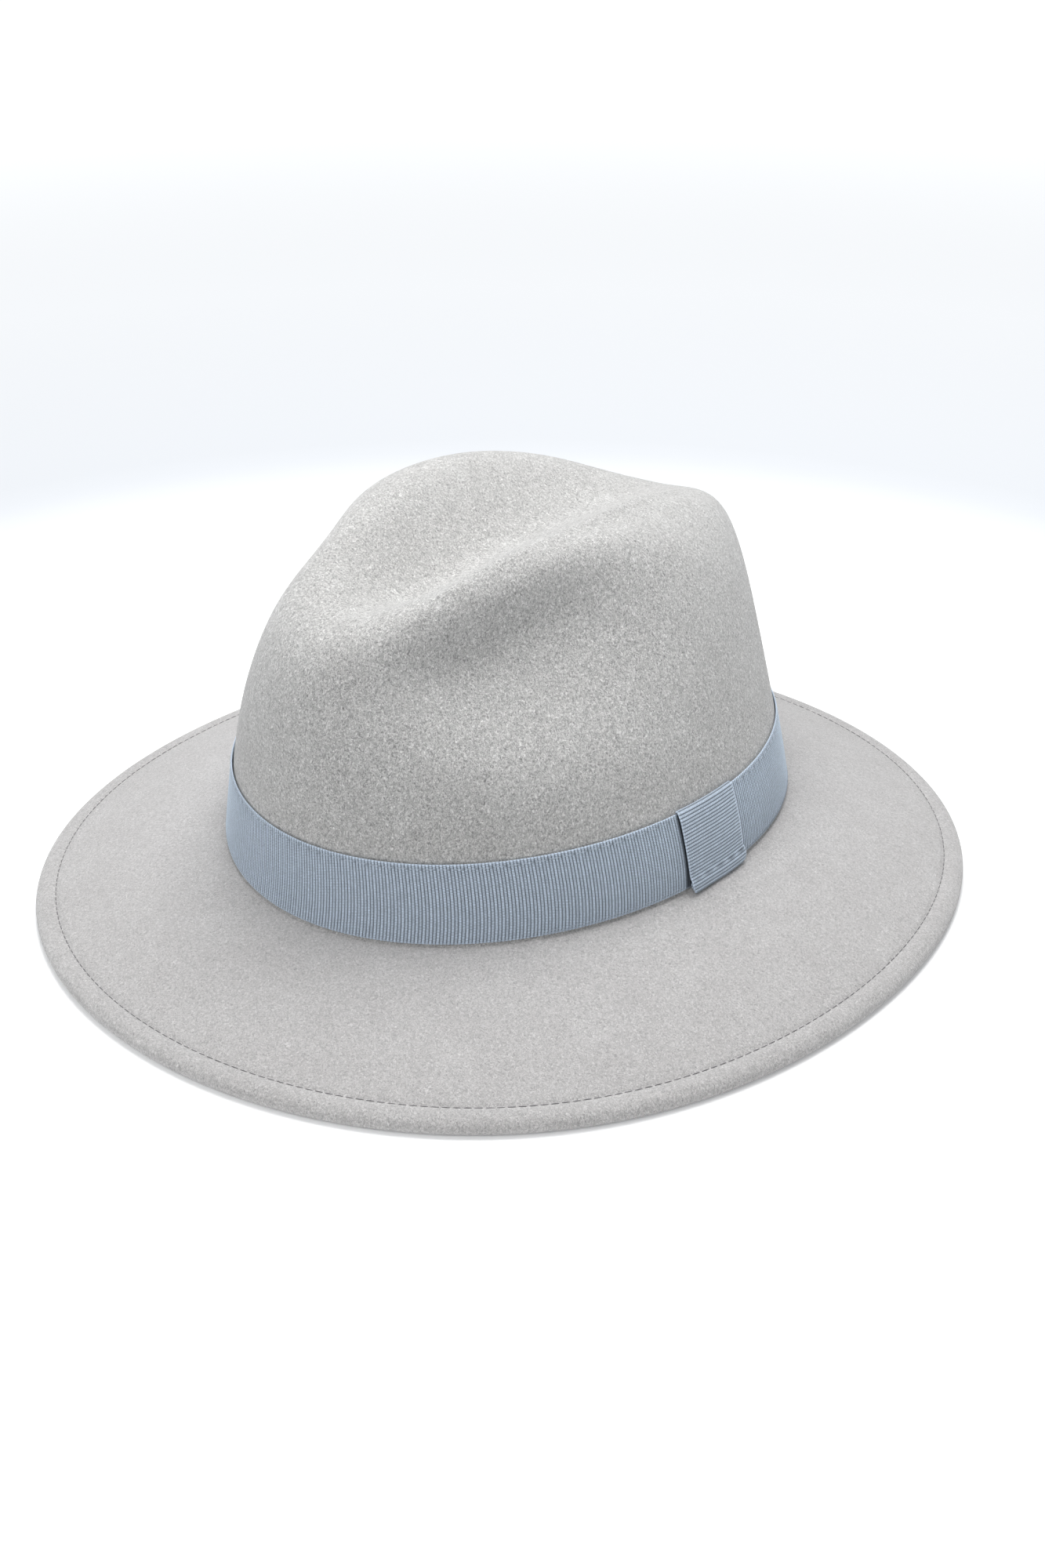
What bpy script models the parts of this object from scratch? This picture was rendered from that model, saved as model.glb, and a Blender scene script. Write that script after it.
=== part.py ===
"""A pinch-front fedora in wool felt, with a grosgrain band, a flat tab and a stitched, wired brim.

The frame: +Z is up, -Y is the hat's front and +X is the wearer's left, where the tab sits. The
hat stands on its brim, so z = 0 is the table, under the middle of the hat's box.
Every size below is in millimetres, and MM turns it into Blender's metres when a mesh is made.
An angle runs round the crown in degrees: 0 at the tab's side (+X), 90 at the back (+Y).
A height is measured up from the lower edge of the band, and an outward distance from the felt.
"""

from math import asin, cos, exp, hypot, pi, radians, sin, tanh

import bmesh
import bpy
from mathutils import Vector

MM = 0.001

# The felt hood: the oval at the foot of the crown, and the felt itself.
HALF_WIDTH = 90.1
HALF_LENGTH = 105.0
FELT = 2.0
FRONT_SHIFT = 2.5  # the brim is this much wider in front, so the crown stands behind the centre
BAND_FOOT = 26.5  # height of the band's lower edge above the table
BREAK = -1.0  # the brim's upper side meets the crown here, as a height from the band's lower edge
SADDLE = 1.8  # the break is higher at the two sides than in front and behind
BACK_LIFT = 1.4  # and higher behind than in front

# The crown: a squarish dome with a crease pressed into its top and a pinch in each side.
CROWN_HEIGHT = 133.1
PLAN_POWER = (2.92, 3.26)  # how square the dome is on its way to the top, in front and behind
SIDE_POWER = (3.6, 4.58)  # how square its shoulder is, in front and behind
SIDE_LEAN = 0.3
END_LEAN = 0.054
FOOT_LEAN = (2.9, -2.2)  # less at the sides and more at the ends, around FOOT_HEIGHT
FOOT_HEIGHT = 26.0
FORWARD_LEAN = 0.042
CREASE_DEPTH = 41.9
CREASE_MIDDLE = -1.3
CREASE_REACH = (80.8, 94.9)  # from its middle, forward and backward
CREASE_END_POWER = 4.29
CREASE_HALF_WIDTH = (24.3, 33.5)  # in front and behind: a teardrop
CREASE_SIDE_POWER = 1.85
CREASE_FADE = (0.45, 0.85)  # the crease starts and is whole at these shares of the height
TOP_TILT = 0.046
# The pinches were pressed by hand and differ: each pair is the wearer's right, then left.
PINCH_DEPTH = (11.3, 19.8)
PINCH_FORWARD = (-52.5, -50.4)
PINCH_HEIGHT = (83.9, 81.3)
PINCH_LENGTH = (21.0, 43.3)
PINCH_REACH = (23.9, 23.7)
PINCH_SLANT = (0.199, 0.122)
PINCH_ROOT = 18.0  # a pinch fades out within this distance of the centre line
PINCH_BLEND = 6.0
RIDGE_EASE = 3.7  # the left ridge's outer side falls away a little, so its crest is sharper
RIDGE_AT = (31.6, 0.358)  # distance from the centre line, and how it grows backward
RIDGE_REACH = 12.8
SHOULDER = 3.1  # the crown's left rear shoulder is this much fuller
SHOULDER_AT = (74.5, 100.0)  # degrees round the crown, and height
SHOULDER_REACH = (23.0, 25.0)
SWELL = 2.0  # the felt swells a little under the left pinch
SWELL_AT = (-40.0, 54.0)
SWELL_REACH = (14.0, 15.0)

# The brim: widths from the felt's oval to the edge, its slope and the folded edge.
BRIM_WIDTH = 63.4
BRIM_SIDES = 1.4
BRIM_FRONT = FRONT_SHIFT
BRIM_CORNERS = 1.6
BRIM_CURVE = 1.05
SLIT = 0.3  # between the brim and the part folded under it
FOLD_DEPTH = 11.5
RIM = 2.7  # radius of the rolled edge
WIRE_ROOM = 1.25
RIM_SWELL = 6.0  # the edge thickens over this distance
RIM_SLOPE = -20  # degrees; the brim's slope where it meets the rolled edge
FLAT_ARC = 12.0  # degrees to each side of straight down, pressed flat by the table
STITCH_INSET = 7.5

# The trim.
GAP = 0.3
BAND_HEIGHT = 26.3
BAND_OFFSET = 0.35
RIBBON = 0.5
BAND_JOIN = -1.5  # degrees; under the middle of the tab
BAND_JOIN_GAP = 0.4
TAB_SPAN = (-9.3, 6.2)
THREAD = 0.2
WIRE = 0.6
SLEEVE = (0.8, 1.0)
SLEEVE_SPAN = 2.2
SWEATBAND = 0.8
SWEATBAND_TOP = 34.0
TAPE = 0.4
TAPE_TOP = 8.0
REED = 0.8
BACK = 90.0

GRID = 6  # degrees between the sections of every piece that goes round the hat
LOW = 8.0  # a height where every piece beside the wall has points, so that none cuts another


# ---- the hat's surfaces -------------------------------------------------------------------


def smooth(value, low, high):
    share = min(max((value - low) / (high - low), 0.0), 1.0)
    return share * share * (3 - 2 * share)


def between(pair, angle):
    """A value that is pair[0] in front and pair[1] behind."""
    return pair[0] + (pair[1] - pair[0]) * (1 + sin(radians(angle))) / 2


def foot_of_band(angle):
    a = radians(angle)
    return BAND_FOOT + SADDLE * cos(2 * a) + BACK_LIFT * sin(a)


def crown_share(angle, height):
    """How far along the dome's curve, from 0 at its foot to 1 at its middle, a height lies."""
    return asin((height / CROWN_HEIGHT) ** (between(SIDE_POWER, angle) / 2)) / (pi / 2)


def crown_point(angle, share):
    """A point on the felt's outer side, in millimetres."""
    a = radians(angle)
    turn = share * pi / 2
    rho = max(cos(turn), 0.0) ** (2 / between(PLAN_POWER, angle))
    rise = CROWN_HEIGHT * sin(turn) ** (2 / between(SIDE_POWER, angle))
    full = shoulder_at(a, rise) + swell_at(a, rise)
    foot = rise / FOOT_HEIGHT * exp(1 - rise / FOOT_HEIGHT)
    x = (HALF_WIDTH - SIDE_LEAN * rise + FOOT_LEAN[0] * foot + full) * rho * cos(a)
    y = (HALF_LENGTH - END_LEAN * rise + FOOT_LEAN[1] * foot + full) * rho * sin(a) - FORWARD_LEAN * rise
    left = 1 / (1 + exp(-x / PINCH_BLEND))
    pinch = pinch_at(0, y, rise) * (1 - left) + pinch_at(1, y, rise) * left
    x -= tanh(x / PINCH_ROOT) * pinch
    z = rise - crease_at(x, y, rise) - ridge_at(x, y, rise)
    z += TOP_TILT * y * smooth(rise, 30, CROWN_HEIGHT)
    z += BAND_FOOT + BACK_LIFT * y / HALF_LENGTH
    z += SADDLE * cos(2 * a) * (1 - smooth(rise, 0, 60))
    return Vector((x, y + FRONT_SHIFT, z))


def shoulder_at(a, rise):
    """How much fuller the crown's left rear shoulder is than the plain dome."""
    around, height = SHOULDER_AT
    away = 2 * (1 - cos(a - radians(around))) / radians(SHOULDER_REACH[0]) ** 2
    return SHOULDER * exp(-away - ((rise - height) / SHOULDER_REACH[1]) ** 2)


def swell_at(a, rise):
    """How much fuller the crown is under its left pinch."""
    around, height = SWELL_AT
    away = 2 * (1 - cos(a - radians(around))) / radians(SWELL_REACH[0]) ** 2
    return SWELL * exp(-away - ((rise - height) / SWELL_REACH[1]) ** 2)


def pinch_at(side, y, rise):
    """Depth of the pinch in the right (0) or the left (1) side."""
    forward = y - PINCH_FORWARD[side]
    middle = PINCH_HEIGHT[side] + PINCH_SLANT[side] * forward
    along = (forward / PINCH_LENGTH[side]) ** 2
    return PINCH_DEPTH[side] * exp(-along - ((rise - middle) / PINCH_REACH[side]) ** 2)


def ridge_at(x, y, rise):
    """How far the outer side of the left ridge falls away."""
    near = exp(-(((x - RIDGE_AT[0] - RIDGE_AT[1] * y) / RIDGE_REACH) ** 2))
    ends = smooth(y, -70, -30) * (1 - smooth(y, 50, 85))
    return RIDGE_EASE * near * ends * smooth(rise, 0.6 * CROWN_HEIGHT, 0.9 * CROWN_HEIGHT)


def crease_at(x, y, rise):
    """Depth of the crease in the top, which is widest behind and narrows to the front."""
    reach = CREASE_REACH[0] if y < CREASE_MIDDLE else CREASE_REACH[1]
    along = exp(-(abs((y - CREASE_MIDDLE) / reach) ** CREASE_END_POWER))
    narrow, wide = CREASE_HALF_WIDTH
    half = narrow + (wide - narrow) * smooth(y, -80, 50)
    across = exp(-((abs(x) / half) ** CREASE_SIDE_POWER))
    low, high = CREASE_FADE
    return CREASE_DEPTH * along * across * smooth(rise, low * CROWN_HEIGHT, high * CROWN_HEIGHT)


def crown_normal(angle, share):
    step = 0.01
    low = max(share - step, 0.002)
    high = min(share + step, 0.998)
    up = crown_point(angle, high) - crown_point(angle, low)
    around = crown_point(angle + 1, share) - crown_point(angle - 1, share)
    return around.cross(up).normalized()


def wall_point(angle, outward, height):
    """A point beside the crown's wall: outward of its outer side and above the band's foot."""
    above = max(height, 0.5)
    share = crown_share(angle, above)
    place = crown_point(angle, share) + crown_normal(angle, share) * outward
    place.z += height - above
    return place


def inside_point(angle, inward, height):
    return wall_point(angle, -FELT - inward, height)


def oval(angle):
    """The felt's oval at the foot of the crown, and its outward direction."""
    a = radians(angle)
    place = Vector((HALF_WIDTH * cos(a), HALF_LENGTH * sin(a) + FRONT_SHIFT, 0))
    normal = Vector((cos(a) / HALF_WIDTH, sin(a) / HALF_LENGTH, 0)).normalized()
    return place, normal


def brim_width(angle):
    a = radians(angle)
    return BRIM_WIDTH + BRIM_SIDES * cos(2 * a) - BRIM_FRONT * sin(a) - BRIM_CORNERS * cos(4 * a)


def brim_middle(angle, reach):
    """Height and slope of the brim's middle line, which ends at the wire in its rolled edge."""
    whole = brim_width(angle) - RIM
    top = foot_of_band(angle) + BREAK - FELT - SLIT / 2
    share = max(reach, 0.001) / whole
    height = top + (RIM - top) * share**BRIM_CURVE
    slope = (RIM - top) / whole * BRIM_CURVE * share ** (BRIM_CURVE - 1)
    return height, slope


def brim_point(angle, reach, above):
    """A point that is above (or, if negative, below) the brim's middle line, square to it."""
    height, slope = brim_middle(angle, reach)
    size = hypot(1, slope)
    place, normal = oval(angle)
    place += normal * (reach - slope / size * above)
    place.z = height + above / size
    return place


def layer(angle, reach):
    """From the middle line to the outside of either layer. It swells towards the wire."""
    flat = FELT + SLIT / 2
    whole = brim_width(angle) - RIM
    return flat + (RIM - flat) * smooth(reach, whole - RIM_SWELL, whole)


def rim_point(angle, turn, radius):
    """A point on a circle round the wire; turn is in degrees from straight outward."""
    place, normal = oval(angle)
    t = radians(turn)
    place += normal * (brim_width(angle) - RIM + radius * cos(t))
    place.z = RIM + radius * sin(t)
    return place


# ---- meshes -------------------------------------------------------------------------------


def material(name, colour, roughness, metallic=0.0):
    found = bpy.data.materials.get(name) or bpy.data.materials.new(name)
    found.use_nodes = True
    shader = found.node_tree.nodes["Principled BSDF"]
    shader.inputs["Base Color"].default_value = (*colour, 1)
    shader.inputs["Roughness"].default_value = roughness
    shader.inputs["Metallic"].default_value = metallic
    return found


def felt():
    return material("felt", (0.56, 0.54, 0.53), 0.95)


def grosgrain():
    return material("grosgrain", (0.31, 0.36, 0.44), 0.7)


def sewing_thread():
    return material("thread", (0.16, 0.16, 0.18), 0.6)


def ribbon_thread():
    return material("ribbon_thread", (0.45, 0.50, 0.58), 0.6)


def spring_steel():
    return material("spring_steel", (0.55, 0.56, 0.58), 0.3, 1.0)


def leather():
    return material("sweatband_leather", (0.52, 0.50, 0.48), 0.55)


def reed_plastic():
    return material("reed_plastic", (0.85, 0.85, 0.83), 0.4)


def mesh_object(name, build, finish):
    """A named object from what build(bm) puts in a bmesh, with its faces pointing out."""
    bm = bmesh.new()
    build(bm)
    bmesh.ops.recalc_face_normals(bm, faces=bm.faces)
    mesh = bpy.data.meshes.new(name)
    bm.to_mesh(mesh)
    bm.free()
    mesh.materials.append(finish)
    mesh.shade_smooth()
    item = bpy.data.objects.new(name, mesh)
    bpy.context.scene.collection.objects.link(item)
    return item


def angles_from(start, end):
    """start, the grid's angles that lie between, and end."""
    first = int(start // GRID) + 1
    inner = [k * GRID for k in range(first, int(end // GRID) + 1)]
    return [start] + [a for a in inner if start + 0.3 < a < end - 0.3] + [end]


def whole_turn():
    return [k * GRID for k in range(360 // GRID)]


def sweep(name, sections, finish, closed):
    """One solid through a list of sections, each a loop of as many points as the others."""

    def build(bm):
        loops = [[bm.verts.new(p * MM) for p in section] for section in sections]
        count = len(loops[0])
        pairs = list(zip(loops, loops[1:]))
        if closed:
            pairs.append((loops[-1], loops[0]))
        for one, two in pairs:
            for k in range(count):
                n = (k + 1) % count
                bm.faces.new((one[k], one[n], two[n], two[k]))
        if not closed:
            bm.faces.new(loops[0])
            bm.faces.new(loops[-1])

    return mesh_object(name, build, finish)


def tube(name, points, radius, finish, closed, corners=4):
    """A round strand along points, as a bevelled curve with filled ends."""
    curve = bpy.data.curves.new(name, "CURVE")
    curve.dimensions = "3D"
    curve.bevel_depth = radius * MM
    curve.bevel_resolution = corners // 2 - 2
    curve.use_fill_caps = not closed
    spline = curve.splines.new("POLY")
    spline.points.add(len(points) - 1)
    for knot, place in zip(spline.points, points):
        knot.co = (*(place * MM), 1)
    spline.use_cyclic_u = closed
    curve.materials.append(finish)
    item = bpy.data.objects.new(name, curve)
    bpy.context.scene.collection.objects.link(item)
    return item


# ---- the felt hood ------------------------------------------------------------------------

WALL_HEIGHTS = (1, LOW, BAND_HEIGHT / 2, BAND_HEIGHT, 40, 53, 66, 78, 89, 99, 108)
TOP_STEPS = 7
BRIM_REACHES = (0.25, 0.5, 0.72)  # shares of the brim's width where it has points
FILLET = (0.3, 2.5)  # how far out the brim's upper and lower sides leave the crown


def crown_shares(angle):
    shares = [crown_share(angle, height) for height in WALL_HEIGHTS]
    last = shares[-1]
    return shares + [last + (1 - last) * k / (TOP_STEPS + 1) for k in range(1, TOP_STEPS + 1)]


def crown_side(angle, inward):
    """The crown from near its middle down to its foot."""
    side = []
    for share in reversed(crown_shares(angle)):
        side.append(crown_point(angle, share) - crown_normal(angle, share) * inward)
    return side


def corner(angle, start, end, outward, height):
    """The middle of a fillet from start to end, bent about a corner."""
    place, normal = oval(angle)
    place += normal * outward
    place.z = foot_of_band(angle) + height
    return start * 0.25 + place * 0.5 + end * 0.25


def brim_layer(angle, near, above):
    whole = brim_width(angle)
    reaches = [near] + [share * whole for share in BRIM_REACHES]
    return [brim_point(angle, reach, above) for reach in reaches]


def rolled_edge(angle):
    """From the top of the rim, round its outside, to the flat that rests on the table."""
    turned = [rim_point(angle, turn, RIM) for turn in (90 + RIM_SLOPE, 35, 0, -35, -60)]
    for turn in (-90 + FLAT_ARC, -90 - FLAT_ARC):
        pressed = rim_point(angle, turn, RIM)
        pressed.z = 0
        turned.append(pressed)
    return turned


def room_for_wire(angle):
    """The channel round the wire, from the lower lip of the slit to its upper lip."""
    turns = (-172, -128, -77, -26, 26, 77, 128, 172)
    return [rim_point(angle, turn + RIM_SLOPE, WIRE_ROOM) for turn in turns]


def felt_section(angle):
    """The felt's whole section, from the crown's middle outside, round the brim, to its inside."""
    whole = brim_width(angle)
    swell = whole - RIM - RIM_SWELL
    fold = whole - FOLD_DEPTH
    flat = FELT + SLIT / 2
    outside = crown_side(angle, 0)
    upper = brim_layer(angle, FILLET[0], flat)
    lower = brim_layer(angle, FILLET[1], SLIT / 2)
    inside = crown_side(angle, FELT)
    section = outside + [corner(angle, outside[-1], upper[0], 0, BREAK)] + upper
    section += [brim_point(angle, swell, flat)] + rolled_edge(angle)
    section += [brim_point(angle, reach, -flat) for reach in (swell, fold)]
    section += [brim_point(angle, fold, -SLIT / 2)] + room_for_wire(angle)
    section += [brim_point(angle, fold, SLIT / 2)] + list(reversed(lower))
    section += [corner(angle, inside[-1], lower[0], -FELT, BREAK - FELT)]
    return section + list(reversed(inside))


def felt_body():
    sections = [felt_section(angle) for angle in whole_turn()]
    top = crown_point(0, 1)

    def build(bm):
        strips = [[bm.verts.new(p * MM) for p in section] for section in sections]
        outer_middle = bm.verts.new(top * MM)
        inner_middle = bm.verts.new((top - Vector((0, 0, FELT))) * MM)
        for one, two in zip(strips, strips[1:] + strips[:1]):
            for k in range(len(one) - 1):
                bm.faces.new((one[k], one[k + 1], two[k + 1], two[k]))
            bm.faces.new((outer_middle, one[0], two[0]))
            bm.faces.new((inner_middle, one[-1], two[-1]))

    return mesh_object("felt_body", build, felt())


# ---- wire and stitching in the rim --------------------------------------------------------


def brim_wire():
    turn = angles_from(BACK + 0.2, BACK + 360 - 0.2)
    path = [rim_point(angle, 0, 0) for angle in turn]
    return tube("brim_wire", path, WIRE, spring_steel(), closed=False, corners=6)


def wire_joiner():
    """A short sleeve over the two ends of the wire, open at both its own ends."""
    corners = 10
    ends = (BACK - SLEEVE_SPAN, BACK + SLEEVE_SPAN)
    order = [(ends[0], SLEEVE[1]), (ends[1], SLEEVE[1]), (ends[1], SLEEVE[0]), (ends[0], SLEEVE[0])]
    rings = []
    for angle, radius in order:
        rings.append([rim_point(angle, 360 * k / corners, radius) for k in range(corners)])
    return sweep("wire_joiner", rings, spring_steel(), closed=True)


def welt_threads():
    off = GAP + THREAD
    for name, side in (("welt_needle_thread", 1), ("welt_bobbin_thread", -1)):
        path = []
        for angle in whole_turn():
            reach = brim_width(angle) - STITCH_INSET
            path.append(brim_point(angle, reach, side * (layer(angle, reach) + off)))
        tube(name, path, THREAD, sewing_thread(), closed=True)


# ---- band and tab -------------------------------------------------------------------------


def band_face():
    return BAND_OFFSET + RIBBON


def hat_band():
    near, far = BAND_OFFSET, band_face()
    heights = (0, LOW, BAND_HEIGHT / 2, BAND_HEIGHT)
    loop = [(far, height) for height in heights] + [(near, height) for height in reversed(heights)]
    turn = angles_from(BAND_JOIN + BAND_JOIN_GAP, BAND_JOIN + 360 - BAND_JOIN_GAP)
    sections = [[wall_point(angle, *spot) for spot in loop] for angle in turn]
    return sweep("hat_band", sections, grosgrain(), closed=False)


TAB_TOP = BAND_HEIGHT + GAP + RIBBON
TAB_FOOT = -0.5
HEM_TOP = 6.0


def tab_face(height):
    """Outward distance of the tab's face: the folded hem stands further out."""
    flat = band_face() + GAP + RIBBON
    return flat + 0.75 * smooth(HEM_TOP - height, 0, HEM_TOP)


def band_tab():
    """The keeper: over the band's top edge, down its face, with a solid folded hem."""
    near = band_face() + GAP
    hook = BAND_OFFSET
    under_hook = BAND_HEIGHT + GAP
    middle = BAND_HEIGHT / 2
    loop = [(tab_face(height), height) for height in (TAB_TOP, middle, LOW, HEM_TOP, 3, 1, TAB_FOOT)]
    loop += [(near, TAB_FOOT), (near, 3), (near, LOW), (near, middle), (near, under_hook)]
    loop += [(hook, under_hook), (hook, TAB_TOP)]
    turn = angles_from(*TAB_SPAN)
    sections = [[wall_point(angle, *spot) for spot in loop] for angle in turn]
    return sweep("band_tab", sections, grosgrain(), closed=False)


def band_threads():
    """Tacking along the band's upper edge, and on its lower edge near the tab only."""
    off = band_face() + GAP + THREAD
    after = TAB_SPAN[1] + 1.5
    before = TAB_SPAN[0] - 1.5
    runs = {
        "band_top_thread": (after, before + 360, BAND_HEIGHT - 1.4),
        "band_bottom_thread_front": (before - 28, before, 1.4),
        "band_bottom_thread_rear": (after, after + 50, 1.4),
    }
    for name, (start, end, height) in runs.items():
        path = [wall_point(angle, off, height) for angle in angles_from(start, end)]
        tube(name, path, THREAD, ribbon_thread(), closed=False)


def tab_thread():
    height = 3.0
    off = tab_face(height) + GAP + THREAD
    turn = angles_from(TAB_SPAN[0] + 0.5, TAB_SPAN[1] - 0.5)
    path = [wall_point(angle, off, height) for angle in turn]
    return tube("tab_thread", path, THREAD, ribbon_thread(), closed=False)


# ---- inside the crown ---------------------------------------------------------------------

REED_ROOM = REED + 0.25
BULB = REED_ROOM + TAPE
BULB_INWARD = GAP + BULB
LEG_GAP = 0.3
SWEATBAND_INWARD = GAP + 2 * TAPE + LEG_GAP + GAP
SWEATBAND_FOOT = 1.2
SWEATBAND_FACE = SWEATBAND_INWARD + SWEATBAND


def sweatband():
    """An open strip, so that its ends nearly meet at the back."""
    near, far = SWEATBAND_INWARD, SWEATBAND_FACE
    heights = (SWEATBAND_FOOT, LOW, BAND_HEIGHT / 2, BAND_HEIGHT, SWEATBAND_TOP)
    loop = [(far, height) for height in heights] + [(near, height) for height in reversed(heights)]
    turn = angles_from(BACK + 0.2, BACK + 360 - 0.2)
    sections = [[inside_point(angle, *spot) for spot in loop] for angle in turn]
    return sweep("sweatband", sections, leather(), closed=False)


def reed_path(angle):
    return inside_point(angle, BULB_INWARD, BREAK)


def sweatband_reed():
    path = [reed_path(angle) for angle in angles_from(BACK + 0.2, BACK + 360 - 0.2)]
    return tube("sweatband_reed", path, REED, reed_plastic(), closed=False, corners=6)


def ring_spots(radius, turns):
    """Spots on a circle round the reed, as (inward, height)."""
    steps = [radians(turn) for turn in turns]
    return [(BULB_INWARD + radius * cos(t), BREAK + radius * sin(t)) for t in steps]


def reed_tape():
    """The tape's section: two legs that come together above the reed, and a bulb round it."""
    far = GAP + TAPE + LEG_GAP
    loop = [(GAP, TAPE_TOP)] + ring_spots(BULB, (180, 236, 292, 348, 405))
    loop += [(far + TAPE, BREAK + 1.95), (far + TAPE, TAPE_TOP), (far, TAPE_TOP), (far, BREAK + 0.8)]
    loop += ring_spots(REED_ROOM, (80, 20, -40, -100, -160))
    loop += [(GAP + TAPE, BREAK + 0.2), (GAP + TAPE, TAPE_TOP)]
    sections = [[inside_point(angle, *spot) for spot in loop] for angle in whole_turn()]
    return sweep("reed_tape", sections, grosgrain(), closed=True)


SEAM_HEIGHT = 4.5


def sweatband_thread():
    off = SWEATBAND_FACE + GAP + THREAD
    turn = angles_from(BACK + 1, BACK + 359)
    path = [inside_point(angle, off, SEAM_HEIGHT) for angle in turn]
    return tube("sweatband_thread", path, THREAD, sewing_thread(), closed=False)


BOW_HALF = 11.0
BOW_MIDDLE = 8.5
BOW_LOOP = 4.0
BOW_KNOT = 2.0
BOW_THICKNESS = 1.4


def sweatband_bow():
    """A flat ribbon bow over the sweatband's join: two loops that narrow to a knot."""
    near = SWEATBAND_FACE + GAP + 2 * THREAD + GAP
    far = near + BOW_THICKNESS
    steps = 8
    sections = []
    for k in range(steps + 1):
        across = 2 * k / steps - 1
        half = BOW_KNOT + (BOW_LOOP - BOW_KNOT) * smooth(abs(across), 0.1, 0.7)
        low, high = BOW_MIDDLE - half, BOW_MIDDLE + half
        angle = BACK + across * BOW_HALF / HALF_WIDTH * 180 / pi
        loop = [(near, low), (far, low), (far, high), (near, high)]
        sections.append([inside_point(angle, *spot) for spot in loop])
    return sweep("sweatband_bow", sections, grosgrain(), closed=False)


# ---- the hat ------------------------------------------------------------------------------


def main():
    for item in list(bpy.data.objects):
        bpy.data.objects.remove(item)
    felt_body()
    brim_wire()
    wire_joiner()
    welt_threads()
    hat_band()
    band_tab()
    band_threads()
    tab_thread()
    sweatband()
    sweatband_reed()
    reed_tape()
    sweatband_thread()
    sweatband_bow()


main()
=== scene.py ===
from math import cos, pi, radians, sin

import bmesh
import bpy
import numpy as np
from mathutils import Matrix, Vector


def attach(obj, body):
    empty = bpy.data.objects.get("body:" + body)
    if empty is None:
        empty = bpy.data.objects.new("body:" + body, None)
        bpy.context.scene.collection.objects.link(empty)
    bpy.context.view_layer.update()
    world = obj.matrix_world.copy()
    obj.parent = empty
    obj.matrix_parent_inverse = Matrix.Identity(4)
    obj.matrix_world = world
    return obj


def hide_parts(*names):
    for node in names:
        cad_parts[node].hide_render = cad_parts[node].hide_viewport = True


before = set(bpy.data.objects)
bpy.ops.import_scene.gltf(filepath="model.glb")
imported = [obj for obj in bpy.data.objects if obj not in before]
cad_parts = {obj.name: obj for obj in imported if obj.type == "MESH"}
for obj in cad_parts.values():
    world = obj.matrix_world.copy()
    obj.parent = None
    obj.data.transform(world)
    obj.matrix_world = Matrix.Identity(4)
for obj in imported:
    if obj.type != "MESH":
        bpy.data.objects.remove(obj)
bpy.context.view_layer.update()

# The looks of a pinch-front wool-felt fedora: felt, grosgrain band and tab, stitching, sweatband.
# Everything stands in the CAD model's frame. The hat's surfaces are repeated here from the same
# driving dimensions, in millimetres, so that they can be sampled as finely as cloth needs.
# Angles run round the crown in radians: 0 at the tab's side (+X), a quarter turn at the back (+Y).
# A height is measured up from the lower edge of the band, and an outward distance from the felt.

MM = 0.001
RANDOM = np.random.default_rng(11)

# The felt hood: the oval at the foot of the crown, and the felt itself.
HALF_WIDTH = 90.1
HALF_LENGTH = 105.0
FELT = 2.0
FRONT_SHIFT = 2.5  # the brim is this much wider in front, so the crown stands behind the centre
BAND_FOOT = 26.5  # height of the band's lower edge above the table
BREAK = -1.0  # height where the brim's upper side meets the crown
SADDLE = 1.8  # the break is higher at the two sides than in front and behind
BACK_LIFT = 1.4  # and higher behind than in front

# The crown: a squarish dome with a crease pressed into its top and a pinch in each side.
CROWN_HEIGHT = 133.1
PLAN_POWER = (2.92, 3.26)  # how square the dome is on its way to the top, in front and behind
SIDE_POWER = (3.6, 4.58)  # how square its shoulder is, in front and behind
SIDE_LEAN = 0.3
END_LEAN = 0.054
FOOT_LEAN = (2.9, -2.2)  # less at the sides and more at the ends, around FOOT_HEIGHT
FOOT_HEIGHT = 26.0
FORWARD_LEAN = 0.042
CREASE_DEPTH = 41.9
CREASE_MIDDLE = -1.3
CREASE_REACH = (80.8, 94.9)  # from its middle, forward and backward
CREASE_END_POWER = 4.29
CREASE_HALF_WIDTH = (24.3, 33.5)  # in front and behind: a teardrop
CREASE_SIDE_POWER = 1.85
CREASE_FADE = (0.45, 0.85)  # the crease starts and is whole at these shares of the height
TOP_TILT = 0.046
# The pinches were pressed by hand and differ: each pair is the wearer's right, then left.
PINCH_DEPTH = (11.3, 19.8)
PINCH_FORWARD = (-52.5, -50.4)
PINCH_HEIGHT = (83.9, 81.3)
PINCH_LENGTH = (21.0, 43.3)
PINCH_REACH = (23.9, 23.7)
PINCH_SLANT = (0.199, 0.122)
PINCH_ROOT = 18.0  # a pinch fades out within this distance of the centre line
PINCH_BLEND = 6.0
RIDGE_EASE = 3.7  # the left ridge's outer side falls away a little, so its crest is sharper
RIDGE_AT = (31.6, 0.358)  # distance from the centre line, and how it grows backward
RIDGE_REACH = 12.8
SWELL = 2.0  # the felt swells a little under the left pinch
SWELL_AT = (-40.0, 54.0)  # degrees round the crown, and height
SWELL_REACH = (14.0, 15.0)
CREST = 2.2  # the hand-set edge of the left ridge, finer than the CAD has it
CREST_AT = (31.0, -0.045, -0.0022)  # distance from the centre line, as a curve in y
CREST_REACH = (3.6, 13.0)  # of the crest itself, and of the felt that sinks beside it
SHOULDER = 3.1  # the crown's left rear shoulder is this much fuller
SHOULDER_AT = (74.5, 100.0)  # degrees round the crown, and height
SHOULDER_REACH = (23.0, 25.0)

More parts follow.
